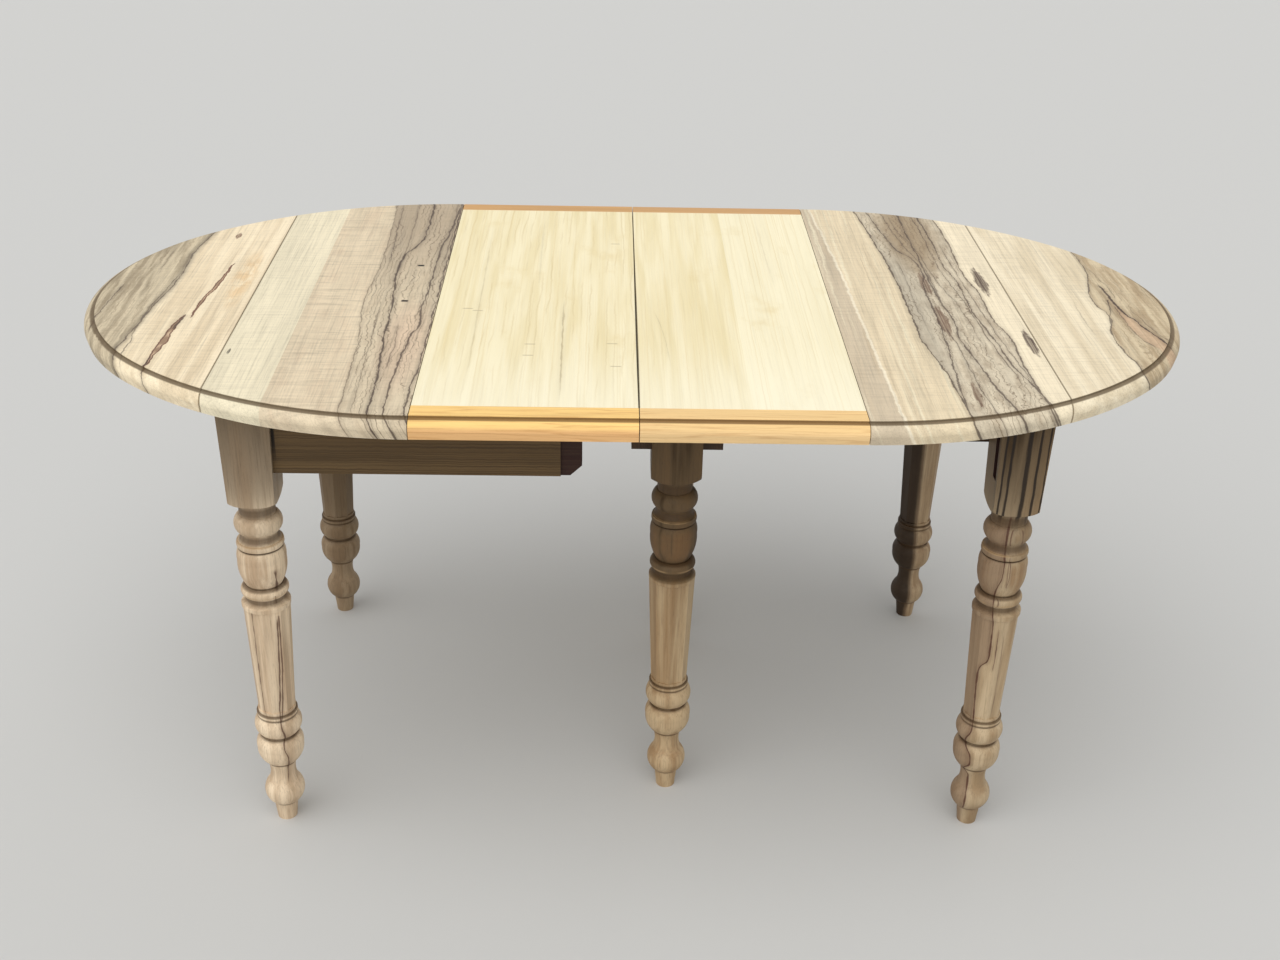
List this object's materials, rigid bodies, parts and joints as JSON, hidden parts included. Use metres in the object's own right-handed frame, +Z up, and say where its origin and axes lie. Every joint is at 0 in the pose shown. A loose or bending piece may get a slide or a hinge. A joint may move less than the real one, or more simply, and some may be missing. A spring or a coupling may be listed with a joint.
{
  "type": "extending dining table",
  "caption": "Oval extending dining table on turned legs: halves on wooden slides, loose drop-in leaves between them and a hinged drop flap at each end.",
  "frame": {"origin": "on the floor, centred under the whole top, below the seam between the two leaves", "axes": "+X along the length of the open table, +Y to the rear, +Z up"},
  "size_m": [1.6226, 0.9, 0.745],
  "materials": {
    "top_wood": "bare stripped wood, spalted",
    "leaf_wood": "bare pale softwood",
    "strip_wood": "bare orange-tan wood",
    "leg_wood": "bare stripped wood, turned",
    "rail_wood": "bare stripped wood",
    "dark_wood": "old dark finish",
    "peg_wood": "bare hardwood",
    "hinge_iron": "dark worn iron"
  },
  "bodies": {
    "carriage": {"centre_bar_front": "dark_wood", "centre_bar_rear": "dark_wood", "centre_leg_front": "leg_wood", "centre_leg_rear": "leg_wood", "centre_plank": "dark_wood", "stop_pegs": "peg_wood"},
    "left_half": {"left_bearer": "dark_wood", "left_end_rail": "rail_wood", "left_front_leg": "leg_wood", "left_front_slide": "dark_wood", "left_hinge_pins": "hinge_iron", "left_hinge_top_plates": "hinge_iron", "left_loper_guide": "dark_wood", "left_rear_leg": "leg_wood", "left_rear_slide": "dark_wood", "left_side_rail": "rail_wood", "left_top_board_inner": "top_wood", "left_top_board_middle": "top_wood", "left_top_board_outer": "top_wood"},
    "left_flap": {"left_flap_board_inner": "top_wood", "left_flap_board_outer": "top_wood", "left_hinge_flap_plates": "hinge_iron"},
    "left_loper": {"left_loper": "dark_wood", "left_loper_peg": "peg_wood"},
    "left_leaf": {"left_leaf_battens": "leaf_wood", "left_leaf_board_inner": "leaf_wood", "left_leaf_board_outer": "leaf_wood", "left_leaf_strip_front": "strip_wood", "left_leaf_strip_rear": "strip_wood"},
    "right_half": {"right_bearer": "dark_wood", "right_end_rail": "rail_wood", "right_front_leg": "leg_wood", "right_front_slide": "dark_wood", "right_hinge_pins": "hinge_iron", "right_hinge_top_plates": "hinge_iron", "right_loper_guide": "dark_wood", "right_rear_leg": "leg_wood", "right_rear_slide": "dark_wood", "right_side_rail": "rail_wood", "right_top_board_inner": "top_wood", "right_top_board_middle": "top_wood", "right_top_board_outer": "top_wood"},
    "right_flap": {"right_flap_board_inner": "top_wood", "right_flap_board_outer": "top_wood", "right_hinge_flap_plates": "hinge_iron"},
    "right_loper": {"right_loper": "dark_wood", "right_loper_peg": "peg_wood"},
    "right_leaf": {"right_leaf_battens": "leaf_wood", "right_leaf_board_inner": "leaf_wood", "right_leaf_board_outer": "leaf_wood", "right_leaf_strip_front": "strip_wood", "right_leaf_strip_rear": "strip_wood"}
  },
  "joints": [
    {"name": "left_half_slide", "type": "slide", "parent": "carriage", "child": "left_half", "axis": [-1, 0, 0], "range_m": [0, 0.044]},
    {"name": "left_flap_hinge", "type": "hinge", "parent": "left_half", "child": "left_flap", "pos_m": [-0.5703, 0, 0.717], "axis": [0, -1, 0], "range_deg": [0, 90]},
    {"name": "left_loper_slide", "type": "slide", "parent": "left_half", "child": "left_loper", "axis": [1, 0, 0], "range_m": [-0.15, 0]},
    {"name": "left_leaf_lift", "type": "slide", "parent": "carriage", "child": "left_leaf", "axis": [0, 0, 1], "range_m": [0, 0.3]},
    {"name": "right_half_slide", "type": "slide", "parent": "carriage", "child": "right_half", "axis": [1, 0, 0], "range_m": [0, 0.162]},
    {"name": "right_flap_hinge", "type": "hinge", "parent": "right_half", "child": "right_flap", "pos_m": [0.5703, 0, 0.717], "axis": [0, 1, 0], "range_deg": [0, 90]},
    {"name": "right_loper_slide", "type": "slide", "parent": "right_half", "child": "right_loper", "axis": [-1, 0, 0], "range_m": [-0.15, 0]},
    {"name": "right_leaf_lift", "type": "slide", "parent": "carriage", "child": "right_leaf", "axis": [0, 0, 1], "range_m": [0, 0.3]}
  ]
}
